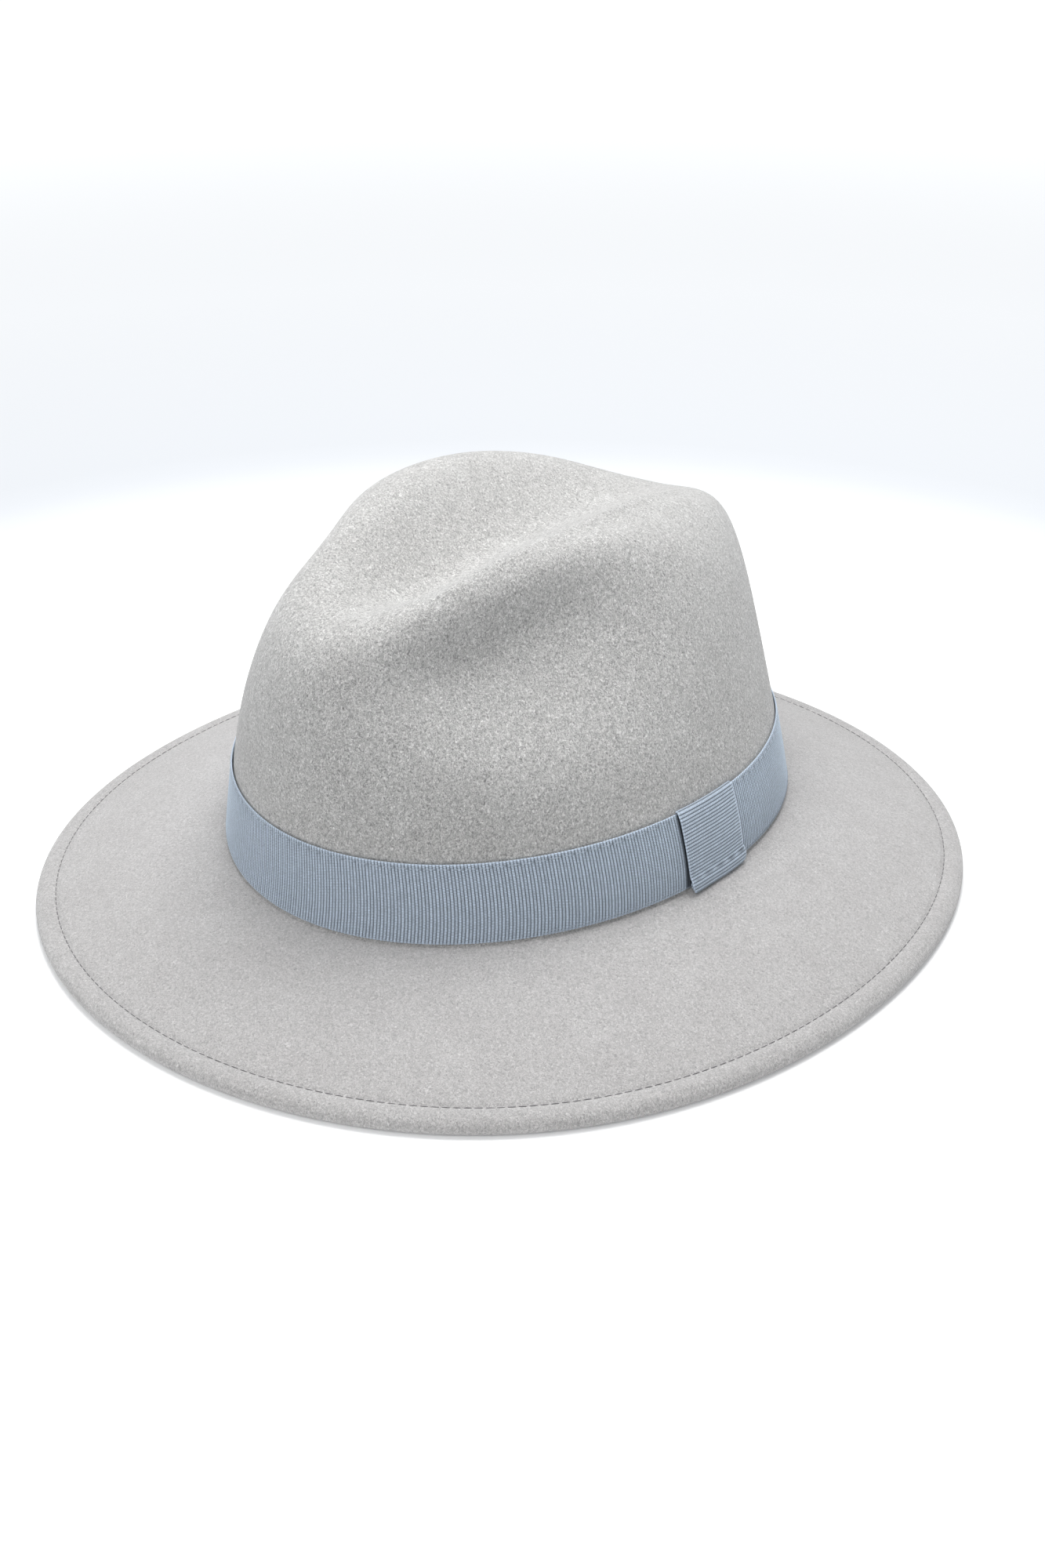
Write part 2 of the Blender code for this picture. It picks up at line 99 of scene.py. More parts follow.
# The brim: widths from the felt's oval to the edge, its slope and the folded edge.
BRIM_WIDTH = 63.4
BRIM_SIDES = 1.4
BRIM_CORNERS = 1.6
BRIM_CURVE = 1.05
BRIM_WAVE = 0.55  # how uneven hand blocking leaves it
SLIT = 0.3  # between the brim and the part folded under it
FOLD_DEPTH = 11.5
RIM = 2.7  # radius of the rolled edge
RIM_SLOPE = -20  # degrees; the brim's slope where it meets the rolled edge
RIM_SWELL = 6.0  # the edge thickens over this distance
PUFF = (0.35, 1.6, 2.2)  # the felt puffs up beside the wire: height, distance from it and reach
WIRE_ROOM = 1.25
STITCH_INSET = 7.5
STITCH_GROOVE = (0.4, 0.8)  # depth, and reach to each side
FLAT = FELT + SLIT / 2

# The trim.
BAND_HEIGHT = 26.3
BAND_OFFSET = 0.3
BAND_EASE = 0.12  # it stands this much off the line that its length is measured on
BAND_JOIN = radians(-1.5)  # under the middle of the tab
TAB_SPAN = (radians(-9.3), radians(6.2))
EDGE_STITCHES = (radians(39), radians(55))  # how far they run from the tab's side, either way
RIBBON = 0.42
RIB_PITCH = 1.11
RIB_DEPTH = 0.26
BACK = pi / 2


# ---- surfaces -----------------------------------------------------------------------------


def smooth(value, low, high):
    share = np.clip((value - low) / (high - low), 0, 1)
    return share * share * (3 - 2 * share)


def between(pair, t):
    return pair[0] + (pair[1] - pair[0]) * (1 + np.sin(t)) / 2


def stack(x, y, z):
    return np.stack(np.broadcast_arrays(x, y, z), -1)


def foot_of_band(t):
    return BAND_FOOT + SADDLE * np.cos(2 * t) + BACK_LIFT * np.sin(t)


def crown_share(t, height):
    return np.arcsin((height / CROWN_HEIGHT) ** (between(SIDE_POWER, t) / 2)) / (pi / 2)


def crease_at(x, y, rise):
    reach = np.where(y < CREASE_MIDDLE, *CREASE_REACH)
    along = np.exp(-(np.abs((y - CREASE_MIDDLE) / reach) ** CREASE_END_POWER))
    narrow, wide = CREASE_HALF_WIDTH
    half = narrow + (wide - narrow) * smooth(y, -80, 50)
    across = np.exp(-((np.abs(x) / half) ** CREASE_SIDE_POWER))
    low, high = CREASE_FADE
    return CREASE_DEPTH * along * across * smooth(rise, low * CROWN_HEIGHT, high * CROWN_HEIGHT)


def shoulder_at(t, rise):
    away = 2 * (1 - np.cos(t - radians(SHOULDER_AT[0]))) / radians(SHOULDER_REACH[0]) ** 2
    return SHOULDER * np.exp(-away - ((rise - SHOULDER_AT[1]) / SHOULDER_REACH[1]) ** 2)


def swell_at(t, rise):
    away = 2 * (1 - np.cos(t - radians(SWELL_AT[0]))) / radians(SWELL_REACH[0]) ** 2
    return SWELL * np.exp(-away - ((rise - SWELL_AT[1]) / SWELL_REACH[1]) ** 2)


def pinch_at(side, y, rise):
    forward = y - PINCH_FORWARD[side]
    middle = PINCH_HEIGHT[side] + PINCH_SLANT[side] * forward
    along = (forward / PINCH_LENGTH[side]) ** 2
    return PINCH_DEPTH[side] * np.exp(-along - ((rise - middle) / PINCH_REACH[side]) ** 2)


def ridge_at(x, y, rise):
    near = np.exp(-(((x - RIDGE_AT[0] - RIDGE_AT[1] * y) / RIDGE_REACH) ** 2))
    ends = smooth(y, -70, -30) * (1 - smooth(y, 50, 85))
    return RIDGE_EASE * near * ends * smooth(rise, 0.6 * CROWN_HEIGHT, 0.9 * CROWN_HEIGHT)


def crest_at(x, y, rise):
    """Sharpens the left ridge: its crest stays and its two sides sink a little."""
    away = x - CREST_AT[0] - CREST_AT[1] * y - CREST_AT[2] * y**2
    sides = np.exp(-((away / CREST_REACH[1]) ** 2)) - np.exp(-((away / CREST_REACH[0]) ** 2))
    ends = smooth(y, -80, -45) * (1 - smooth(y, 30, 75))
    return -CREST * sides * ends * smooth(rise, 0.6 * CROWN_HEIGHT, 0.9 * CROWN_HEIGHT)


def crown(t, share):
    """Points on the felt's outer side; share runs from 0 at the foot to 1 at the middle."""
    turn = share * pi / 2
    rho = np.maximum(np.cos(turn), 0) ** (2 / between(PLAN_POWER, t))
    rise = CROWN_HEIGHT * np.sin(turn) ** (2 / between(SIDE_POWER, t))
    full = shoulder_at(t, rise) + swell_at(t, rise)
    foot = rise / FOOT_HEIGHT * np.exp(1 - rise / FOOT_HEIGHT)
    half_width = HALF_WIDTH - SIDE_LEAN * rise + FOOT_LEAN[0] * foot + full
    half_length = HALF_LENGTH - END_LEAN * rise + FOOT_LEAN[1] * foot + full
    x = half_width * rho * np.cos(t)
    y = half_length * rho * np.sin(t) - FORWARD_LEAN * rise
    left = 1 / (1 + np.exp(-x / PINCH_BLEND))
    pinch = pinch_at(0, y, rise) * (1 - left) + pinch_at(1, y, rise) * left
    x = x - np.tanh(x / PINCH_ROOT) * pinch
    z = rise - crease_at(x, y, rise) - ridge_at(x, y, rise) + crest_at(x, y, rise)
    z = z + TOP_TILT * y * smooth(rise, 30, CROWN_HEIGHT)
    z = z + BAND_FOOT + BACK_LIFT * y / HALF_LENGTH
    z = z + SADDLE * np.cos(2 * t) * (1 - smooth(rise, 0, 60))
    return stack(x, y + FRONT_SHIFT, z)


def unit(v):
    return v / np.maximum(np.linalg.norm(v, axis=-1, keepdims=True), 1e-12)


def crown_normal(t, share):
    low = np.maximum(share - 0.006, 0.002)
    high = np.minimum(share + 0.006, 0.998)
    up = crown(t, high) - crown(t, low)
    around = crown(t + 0.01, share) - crown(t - 0.01, share)
    return unit(np.cross(around, up))


def wall(t, outward, height):
    """Points beside the crown's wall: outward of the felt and above the band's foot."""
    t, outward, height = np.broadcast_arrays(t, outward, height)
    above = np.maximum(height, 0.5)
    share = crown_share(t, above)
    place = crown(t, share) + crown_normal(t, share) * outward[..., None]
    place[..., 2] += height - above
    return place


def inside(t, inward, height):
    return wall(t, -FELT - np.asarray(inward, float), height)


def oval(t):
    place = stack(HALF_WIDTH * np.cos(t), HALF_LENGTH * np.sin(t) + FRONT_SHIFT, 0 * t)
    normal = unit(stack(np.cos(t) / HALF_WIDTH, np.sin(t) / HALF_LENGTH, 0 * t))
    return place, normal


def brim_width(t):
    width = BRIM_WIDTH + BRIM_SIDES * np.cos(2 * t) - FRONT_SHIFT * np.sin(t)
    return width - BRIM_CORNERS * np.cos(4 * t)


def brim_wave(t, reach):
    """How far the brim is off a perfect cone, most in the middle of its width."""
    share = reach / brim_width(t)
    swing = 0.5 * np.sin(3 * t + 0.7) + 0.3 * np.sin(5 * t + 2.1) + 0.2 * np.sin(8 * t + 4.0)
    return BRIM_WAVE * swing * np.sin(pi * np.clip(share, 0, 1)) ** 1.2


def brim(t, reach, above):
    """Points above (or below) the brim's middle line, which runs from the crown to the wire."""
    t, reach, above = np.broadcast_arrays(t, reach, above)
    whole = brim_width(t) - RIM
    top = foot_of_band(t) + BREAK - FLAT
    share = np.maximum(reach, 0.001) / whole
    height = top + (RIM - top) * share**BRIM_CURVE + brim_wave(t, reach)
    slope = (RIM - top) / whole * BRIM_CURVE * share ** (BRIM_CURVE - 1)
    size = np.hypot(1, slope)
    place, normal = oval(t)
    place = place + normal * (reach - slope / size * above)[..., None]
    place[..., 2] = height + above / size
    return place


def layer(t, reach):
    """From the middle line to the brim's surface, with the swell at the wire and the groove."""
    whole = brim_width(t) - RIM
    depth, side = STITCH_GROOVE
    groove = depth * np.exp(-(((reach - (brim_width(t) - STITCH_INSET)) / side) ** 2))
    height, inset, spread = PUFF
    puff = height * np.exp(-(((reach - (whole - inset)) / spread) ** 2))
    return FLAT + (RIM - FLAT) * smooth(reach, whole - RIM_SWELL, whole) + puff - groove


def rim(t, turn, radius):
    """Points on a circle round the wire; turn is in degrees from straight outward."""
    t, turn = np.broadcast_arrays(t, np.radians(turn))
    place, normal = oval(t)
    place = place + normal * (brim_width(t) - RIM + radius * np.cos(turn))[..., None]
    place[..., 2] = RIM + radius * np.sin(turn)
    return place


# ---- meshes -------------------------------------------------------------------------------


def lengths(line):
    """How far along a line each of its points lies."""
    return np.concatenate([[0], np.cumsum(np.linalg.norm(np.diff(line, axis=0), axis=1))])


def grid_faces(rows, columns, wrap_rows, wrap_columns):
    i = np.arange(rows if wrap_rows else rows - 1)[:, None]
    j = np.arange(columns if wrap_columns else columns - 1)[None]
    n, m = (i + 1) % rows, (j + 1) % columns
    corners = [i * columns + j, n * columns + j, n * columns + m, i * columns + m]
    return np.stack(corners, -1).reshape(-1, 4).tolist()


def make_piece(name, points, faces, finish, nodes, uv=None, values=None):
    """A piece from points in millimetres, with its faces turned outward."""
    mesh = bpy.data.meshes.new(name)
    mesh.from_pydata((points.reshape(-1, 3) * MM).tolist(), [], faces)
    if uv is not None:
        weave = mesh.uv_layers.new(name="weave")
        corners = np.empty(len(mesh.loops), np.int32)
        mesh.loops.foreach_get("vertex_index", corners)
        weave.data.foreach_set("uv", uv.reshape(-1, 2)[corners].astype(np.float32).ravel())
    for key, value in (values or {}).items():
        attribute = mesh.attributes.new(key, "FLOAT", "POINT")
        attribute.data.foreach_set("value", value.astype(np.float32).ravel())
    bm = bmesh.new()
    bm.from_mesh(mesh)
    bmesh.ops.recalc_face_normals(bm, faces=bm.faces)
    bm.to_mesh(mesh)
    bm.free()
    mesh.shade_smooth()
    mesh.materials.append(finish)
    piece = bpy.data.objects.new(name, mesh)
    bpy.context.scene.collection.objects.link(piece)
    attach(piece, "root")
    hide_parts(*nodes)
    return piece


def caps(rows, columns):
    """The two end faces of an open sweep whose sections are rows of the grid."""
    return [list(range(columns)), [(rows - 1) * columns + k for k in range(columns)]]


def join(shapes):
    """One array of points and one list of faces, from several shapes that have their own."""
    points, faces, start = [], [], 0
    for some, new in shapes:
        points.append(some.reshape(-1, 3))
        faces += [[start + k for k in face] for face in new]
        start += len(points[-1])
    return np.concatenate(points), faces


def tubes(lines, ups, radius, sides=6):
    """Points and faces of round strands with tapered ends, one for each line."""
    strands = []
    turns = np.arange(sides)[:, None] * 2 * pi / sides
    for line, up in zip(lines, ups):
        along = unit(np.gradient(line, axis=0))
        side = unit(np.cross(along, up))
        other = np.cross(side, along)
        size = np.full(len(line), radius)
        size[[0, -1]] *= 0.45
        ring = side[:, None] * np.cos(turns) + other[:, None] * np.sin(turns)
        faces = grid_faces(len(line), sides, False, True) + caps(len(line), sides)
        strands.append((line[:, None] + ring * size[:, None, None], faces))
    return join(strands)


# ---- materials ----------------------------------------------------------------------------


SHADER_INPUTS = {
    "sheen_weight": "Sheen Weight",
    "sheen_roughness": "Sheen Roughness",
    "specular": "Specular IOR Level",
    "metallic": "Metallic",
}


class Nodes:
    """A short way to write a material's node tree."""

    def __init__(self, name):
        self.material = bpy.data.materials.new(name)
        self.material.use_nodes = True
        self.tree = self.material.node_tree
        self.shader = self.tree.nodes["Principled BSDF"]

    def add(self, kind, **settings):
        node = self.tree.nodes.new(kind)
        for key, value in settings.items():
            setattr(node, key, value)
        return node

    def link(self, source, target):
        self.tree.links.new(source, target)

    def feed(self, target, value):
        if isinstance(value, bpy.types.NodeSocket):
            self.link(value, target)
        else:
            target.default_value = value

    def place(self):
        return self.add("ShaderNodeTexCoord").outputs["Object"]

    def attribute(self, name):
        return self.add("ShaderNodeAttribute", attribute_name=name).outputs["Fac"]

    def weave(self):
        """A ribbon's own coordinates: ribs along it, and millimetres across it."""
        split = self.add("ShaderNodeSeparateXYZ")
        self.link(self.add("ShaderNodeUVMap", uv_map="weave").outputs[0], split.inputs[0])
        return split.outputs[0], split.outputs[1]

    def math(self, operation, a, b=0.0, clamp=False):
        node = self.add("ShaderNodeMath", operation=operation, use_clamp=clamp)
        self.feed(node.inputs[0], a)
        self.feed(node.inputs[1], b)
        return node.outputs[0]

    def noise(self, size, detail, roughness, stretch=None, distortion=0.0):
        """Noise whose grains are about size millimetres wide."""
        node = self.add("ShaderNodeTexNoise")
        source = self.place()
        if stretch:
            mapping = self.add("ShaderNodeMapping")
            mapping.inputs["Scale"].default_value = stretch
            self.link(source, mapping.inputs["Vector"])
            source = mapping.outputs[0]
        self.link(source, node.inputs["Vector"])
        node.inputs["Scale"].default_value = 1 / (size * MM)
        node.inputs["Detail"].default_value = detail
        node.inputs["Roughness"].default_value = roughness
        node.inputs["Distortion"].default_value = distortion
        return node.outputs["Fac"]

    def ramp(self, value, *stops):
        node = self.add("ShaderNodeValToRGB")
        self.link(value, node.inputs[0])
        elements = node.color_ramp.elements
        while len(elements) < len(stops):
            elements.new(0.5)
        for element, (position, colour) in zip(elements, stops):
            element.position = position
            element.color = (*colour, 1) if isinstance(colour, tuple) else (colour, colour, colour, 1)
        return node.outputs[0]

    def mix(self, blend, share, a, b):
        node = self.add("ShaderNodeMix", data_type="RGBA", blend_type=blend)
        self.feed(node.inputs[0], share)
        for socket, value in ((node.inputs[6], a), (node.inputs[7], b)):
            self.feed(socket, (*value, 1) if isinstance(value, tuple) else value)
        return node.outputs[2]

    def bump(self, height, distance, strength, below=None):
        node = self.add("ShaderNodeBump")
        node.inputs["Strength"].default_value = strength
        node.inputs["Distance"].default_value = distance * MM
        self.link(height, node.inputs["Height"])
        if below is not None:
            self.link(below, node.inputs["Normal"])
        return node.outputs[0]

    def finish(self, colour, roughness, normal=None, **values):
        self.link(colour, self.shader.inputs["Base Color"])
        self.feed(self.shader.inputs["Roughness"], roughness)
        if normal is not None:
            self.link(normal, self.shader.inputs["Normal"])
        for key, value in values.items():
            self.shader.inputs[SHADER_INPUTS[key]].default_value = value
        return self.material


FELT_GREY = (0.437, 0.433, 0.424)  # where its nap is long, on the crown
FELT_SMOOTH = (0.444, 0.431, 0.429)  # where it is pressed flat, on the brim
RIBBON_BLUE = (0.345, 0.40, 0.475)
LIGHT_THREAD = (0.42, 0.475, 0.55)
DARK_THREAD = (0.16, 0.155, 0.16)
TAPE_GREY = (0.40, 0.41, 0.43)
LEATHER_GREY = (0.40, 0.385, 0.37)
STEEL_GREY = (0.55, 0.56, 0.58)
REED_WHITE = (0.82, 0.82, 0.80)


def felt_material():
    """Short, matted wool fibres: fine light and dark grains, stronger on the crown than the brim."""
    m = Nodes("felt")
    nap = m.attribute("nap")
    grains = m.noise(0.7, detail=4, roughness=0.75, distortion=0.9)
    hairs = m.noise(1.3, detail=3, roughness=0.7, stretch=(1, 1, 0.55), distortion=3.2)
    clumps = m.noise(2.6, detail=3, roughness=0.7, distortion=1.5)
    clouds = m.noise(14, detail=3, roughness=0.55)
    speckle = m.ramp(grains, (0.28, 0.34), (0.46, 0.88), (0.54, 1.09), (0.74, 1.65))
    streaks = m.ramp(hairs, (0.32, 0.58), (0.5, 1.0), (0.68, 1.46))
    mottle = m.ramp(clouds, (0.3, (0.965, 0.96, 0.96)), (0.7, (1.03, 1.03, 1.03)))
    depth = m.math("ADD", m.math("MULTIPLY", nap, 0.55), 0.45)
    base = m.mix("MIX", nap, FELT_SMOOTH, FELT_GREY)
    colour = m.mix("MULTIPLY", depth, base, speckle)
    colour = m.mix("MULTIPLY", depth, colour, streaks)
    colour = m.mix("MULTIPLY", depth, colour, m.ramp(clumps, (0.3, 0.91), (0.7, 1.08)))
    colour = m.mix("MULTIPLY", 1.0, colour, mottle)
    coarse = m.bump(hairs, 0.4, 0.6)
    fine = m.bump(grains, 0.3, 0.75, below=coarse)
    return m.finish(
        colour,
        m.ramp(grains, (0.3, 0.86), (0.7, 0.98)),
        fine,
        sheen_weight=0.35,
        sheen_roughness=0.6,
        specular=0.2,
    )


def grosgrain_material(name, colour=RIBBON_BLUE):
    """Ribs of fine beaded yarn across the ribbon, with shade painted between them, and a selvedge
    with a painted highlight.
    """
    m = Nodes(name)
    along, across = m.weave()
    rib = m.math("ABSOLUTE", m.math("SINE", m.math("MULTIPLY", along, pi)))
    other = m.math("FRACT", m.math("MULTIPLY", m.math("FLOOR", along), 0.5))
    turns = m.math("ADD", m.math("DIVIDE", across, 0.55), other)
    bead = m.math("ABSOLUTE", m.math("SINE", m.math("MULTIPLY", turns, pi)))
    uneven = m.noise(0.5, detail=2, roughness=0.6)
    streak = m.noise(2.6, detail=2, roughness=0.6)
    # Painted shade in the grooves between the ribs and between the beads, and painted light on their
    # tops.
    tone = m.mix("MULTIPLY", 1.0, colour, m.ramp(rib, (0.13, 0.26), (0.5, 0.88), (0.95, 1.23)))
    tone = m.mix("MULTIPLY", 0.95, tone, m.ramp(bead, (0.08, 0.42), (0.6, 1.14), (0.95, 1.24)))
    tone = m.mix("MULTIPLY", 0.7, tone, m.ramp(uneven, (0.3, 0.72), (0.7, 1.25)))
    tone = m.mix("MULTIPLY", 0.7, tone, m.ramp(streak, (0.3, 0.9), (0.7, 1.08)))
    tone = m.mix("MULTIPLY", 1.0, tone, m.ramp(other, (0.2, 0.94), (0.4, 1.05)))
    # Painted shade: the ribbon is darkened, and loses its sheen, in its stitch dimples, in the gap
    # beside and under the tab, and over the tab's back.
    dent_and_shade = m.attribute("dent_and_shade")
    dark = tuple(c * 0.2 for c in colour)
    tone = m.mix("MIX", m.math("MULTIPLY", dent_and_shade, 0.92), tone, dark)
    # Painted highlight along the selvedges' loops, brightest in the middle of each rib's loop.
    pale = tuple(c * 1.8 for c in colour)
    tone = m.mix("MIX", m.math("MULTIPLY", m.attribute("selvedge"), 0.8), tone, pale)
    height = m.math("ADD", m.math("MULTIPLY", bead, 0.7), m.math("MULTIPLY", uneven, 0.6))
    m.link(m.ramp(dent_and_shade, (0.0, 0.9), (0.7, 0.0)), m.shader.inputs["Sheen Weight"])
    m.shader.inputs["Sheen Tint"].default_value = (0.78, 0.9, 1.0, 1)
    return m.finish(
        tone,
        m.ramp(uneven, (0.3, 0.55), (0.7, 0.72)),
        m.bump(height, 0.09, 0.8),
        sheen_roughness=0.5,
        specular=0.35,
    )


def thread_material(name, colour):
    m = Nodes(name)
    twist = m.noise(0.22, detail=2, roughness=0.6)
    tone = m.mix("MULTIPLY", 0.8, colour, m.ramp(twist, (0.3, 0.65), (0.7, 1.25)))
    return m.finish(tone, 0.55, m.bump(twist, 0.06, 0.8), sheen_weight=0.2)


def leather_material():
    m = Nodes("sweatband_leather")
    cells = m.add("ShaderNodeTexVoronoi", feature="DISTANCE_TO_EDGE")
    m.link(m.place(), cells.inputs["Vector"])
    cells.inputs["Scale"].default_value = 1 / (0.9 * MM)
    pores = m.ramp(cells.outputs["Distance"], (0.0, 0.0), (0.25, 1.0))
    clouds = m.noise(9, detail=4, roughness=0.6)
    tone = m.mix("MULTIPLY", 1.0, LEATHER_GREY, m.ramp(clouds, (0.3, 0.9), (0.7, 1.07)))
    tone = m.mix("MULTIPLY", 0.35, tone, pores)
    normal = m.bump(pores, 0.05, 0.7, below=m.bump(clouds, 0.2, 0.3))
    return m.finish(tone, m.ramp(clouds, (0.3, 0.42), (0.7, 0.58)), normal, specular=0.4)


def steel_material():
    m = Nodes("spring_steel")
    drawn = m.noise(0.5, detail=3, roughness=0.6)
    tone = m.mix("MULTIPLY", 1.0, STEEL_GREY, m.ramp(drawn, (0.3, 0.85), (0.7, 1.08)))
    shine = m.ramp(drawn, (0.3, 0.25), (0.7, 0.4))
    return m.finish(tone, shine, m.bump(drawn, 0.02, 0.5), metallic=1.0)


def plastic_material():
    m = Nodes("reed_plastic")
    haze = m.noise(1.5, detail=3, roughness=0.6)
    tone = m.mix("MULTIPLY", 1.0, REED_WHITE, m.ramp(haze, (0.3, 0.94), (0.7, 1.04)))
    return m.finish(tone, m.ramp(haze, (0.3, 0.32), (0.7, 0.46)), m.bump(haze, 0.03, 0.4))


# ---- the felt hood ------------------------------------------------------------------------

AROUND = 300  # sections round the hat
WALL_TOP = 108  # the crown's rows are even in height up to here, and even in share above it
OUTER_ROWS = (44, 58)  # up the crown's wall, and over its top
INNER_ROWS = (34, 30)
BEND_ROWS = 4  # where the crown turns into the brim
BRIM_ROWS = 30
FOLD_ROWS = 18
ROLL_ROWS = 15
BRIM_START = 0.3
UNDER_START = 2.5  # the underside starts further out, by about the felt's thickness
TOUCH = 0.08  # the rolled edge is pressed flat where it comes this near the table
CUT_EDGE = ((0.35, 1.9), (0.5, 1.1), (0.3, 0.35))  # the fold's rounded end: inward, and down
WIRE_SIDES = (-172, -128, -77, -26, 26, 77, 128, 172)  # degrees round the wire's room


def crown_column(t, inward, rows):
    """The crown's points from near its middle down to its foot, a row of them for every angle."""
    wall_rows, top_rows = rows
    shares = crown_share(t, np.linspace(1, WALL_TOP, wall_rows))
    last = shares[:, -1:]
    over = last + (1 - last) * np.arange(1, top_rows + 1) / (top_rows + 1)
    shares = np.concatenate([shares, over], 1)[:, ::-1]
    return crown(t, shares) - crown_normal(t, shares) * inward


def bend(start, corner, end):
    """A curve from start to end that leaves and meets them toward the corner."""
    k = (np.arange(1, BEND_ROWS + 1) / (BEND_ROWS + 1))[None, :, None]
    return start * (1 - k) ** 2 + corner * 2 * k * (1 - k) + end * k**2


def corner_at(t, out, height):
    place, normal = oval(t)
    place = place + normal * out
    place[..., 2] = foot_of_band(t) + height
    return place


def felt_hood(finish):
    t = (np.arange(AROUND) * 2 * pi / AROUND)[:, None]
    whole = brim_width(t)
    fold = whole - FOLD_DEPTH
    outside = crown_column(t, 0, OUTER_ROWS)
    inner = crown_column(t, FELT, INNER_ROWS)[:, ::-1]
    steps = np.linspace(0, 1, BRIM_ROWS)
    near = BRIM_START + (fold - BRIM_START) * steps
    edge = fold + (whole - RIM - fold) * np.linspace(0, 1, FOLD_ROWS + 1)[1:]
    upper = brim(t, near, FLAT)
    upper_edge = brim(t, edge, layer(t, edge))
    rolled = rim(t, np.linspace(90 + RIM_SLOPE, -90 + RIM_SLOPE, ROLL_ROWS + 2)[1:-1], RIM)
    rolled[..., 2] = np.where(rolled[..., 2] < TOUCH, 0, rolled[..., 2])
    edge = edge[:, ::-1]
    under_edge = brim(t, edge, -layer(t, edge))
    under_edge[..., 2] = np.maximum(under_edge[..., 2], 0)
    cut = np.concatenate([brim(t, fold - inward, -down) for inward, down in CUT_EDGE], 1)
    room = rim(t, np.array(WIRE_SIDES) + RIM_SLOPE, WIRE_ROOM)
    lower = brim(t, near[:, ::-1] + (UNDER_START - BRIM_START) * steps, SLIT / 2)
    outer_bend = bend(outside[:, -1:], corner_at(t, 0, BREAK), upper[:, :1])
    inner_bend = bend(lower[:, -1:], corner_at(t, -FELT, BREAK - FELT), inner[:, :1])
    parts = (  # the felt's closed section, part after part, with how long its nap is there
        (outside, 1.0),
        (outer_bend, 0.7),
        (upper, 0.25),
        (upper_edge, 0.3),
        (rolled, 0.4),
        (under_edge, 0.4),
        (cut, 0.8),
        (room, 0.5),
        (lower, 0.4),
        (inner_bend, 0.6),
        (inner, 0.8),
    )
    section = np.concatenate([part for part, nap in parts], 1)
    naps = np.concatenate([np.full(part.shape[:2], nap) for part, nap in parts], 1)
    rows, columns = section.shape[:2]
    faces = grid_faces(rows, columns, True, False)
    top, under_top = rows * columns, rows * columns + 1
    for k in range(rows):
        here, next_one = k * columns, (k + 1) % rows * columns
        faces.append([top, here, next_one])
        faces.append([under_top, here + columns - 1, next_one + columns - 1])
    middle = crown(np.zeros(1), np.ones(1))[0]
    points = np.concatenate([section.reshape(-1, 3), [middle], [middle - (0, 0, FELT)]])
    naps = np.concatenate([naps.ravel(), [parts[0][1], parts[-1][1]]])
    make_piece("felt_hood", points, faces, finish, ["felt_body"], values={"nap": naps})


# ---- stitching ----------------------------------------------------------------------------

# A seam: the length of a stitch with its gap, the gap's share of it, how high the thread stands
# and how deep its ends sink.
WELT_SEAM = {"pitch": 3.2, "gap": 0.07, "rise": 0.12, "sink": 0.3}
WELT_START = 0.31
LOCK_SEAM = {"pitch": 3.4, "gap": 0.14, "rise": 0.3, "sink": 0.1}
LOCK_SPAN = (BACK - 0.035, BACK + 0.035)
LOCK_SHIFT = 0.9  # the locking stitches lie this far inward of the seam
SWEATBAND_SEAM = {"pitch": 2.8, "gap": 0.16, "rise": 0.12, "sink": 0.12, "steps": 6}
WELT_THREAD = 0.15
BAND_THREAD = 0.1
TAB_THREAD = 0.12
SWEATBAND_THREAD = 0.14


def hump(points, power):
    """A stitch's height along its length: 0 at its two ends and 1 in its middle."""
    return np.sin(pi * np.linspace(0, 1, points)) ** power


def arc_angles(place, start, end, pitch):
    """Angles that cut the line place(t) into equal lengths of about pitch millimetres."""
    fine = np.linspace(start, end, 2000)
    length = lengths(place(fine))
    count = max(int(round(length[-1] / pitch)), 1)
    return np.interp(np.linspace(0, length[-1], count + 1), length, fine)


def row_of_stitches(place, normal, start, end, pitch, gap, rise, sink, steps=8):
    """Stitches on place(t, above): each rises from the cloth, lies on it and goes down again."""
    cuts = arc_angles(lambda t: place(t, 0 * t), start, end, pitch)
    lines, ups = [], []
    for one, two in zip(cuts[:-1], cuts[1:]):
        share = np.linspace(gap / 2, 1 - gap / 2, steps)
        t = one + (two - one) * share
        jitter = RANDOM.uniform(0.9, 1.1)
        lines.append(place(t, -sink + (rise + sink) * hump(steps, 0.35) * jitter))
        ups.append(normal(t))
    return lines, ups


def upward(t):
    return stack(0 * t, 0 * t, 0 * t + 1)


def outward(t):
    return oval(t)[1]


def welt_stitches(name, node, side, finish):
    """A row all round the brim's upper (1) or under (-1) side, locked by a short one at the back."""

    def place(t, above, shift=0.0):
        reach = brim_width(t) - STITCH_INSET - shift
        return brim(t, reach, side * (layer(t, reach) + above))

    def lock_place(t, above):
        return place(t, above, LOCK_SHIFT)

    end = WELT_START + 2 * pi
    lines, ups = row_of_stitches(place, upward, WELT_START, end, **WELT_SEAM)
    lock_lines, lock_ups = row_of_stitches(lock_place, upward, *LOCK_SPAN, **LOCK_SEAM)
    points, faces = tubes(lines + lock_lines, ups + lock_ups, WELT_THREAD)
    make_piece(name, points, faces, finish, [node])


# ---- ribbon -------------------------------------------------------------------------------

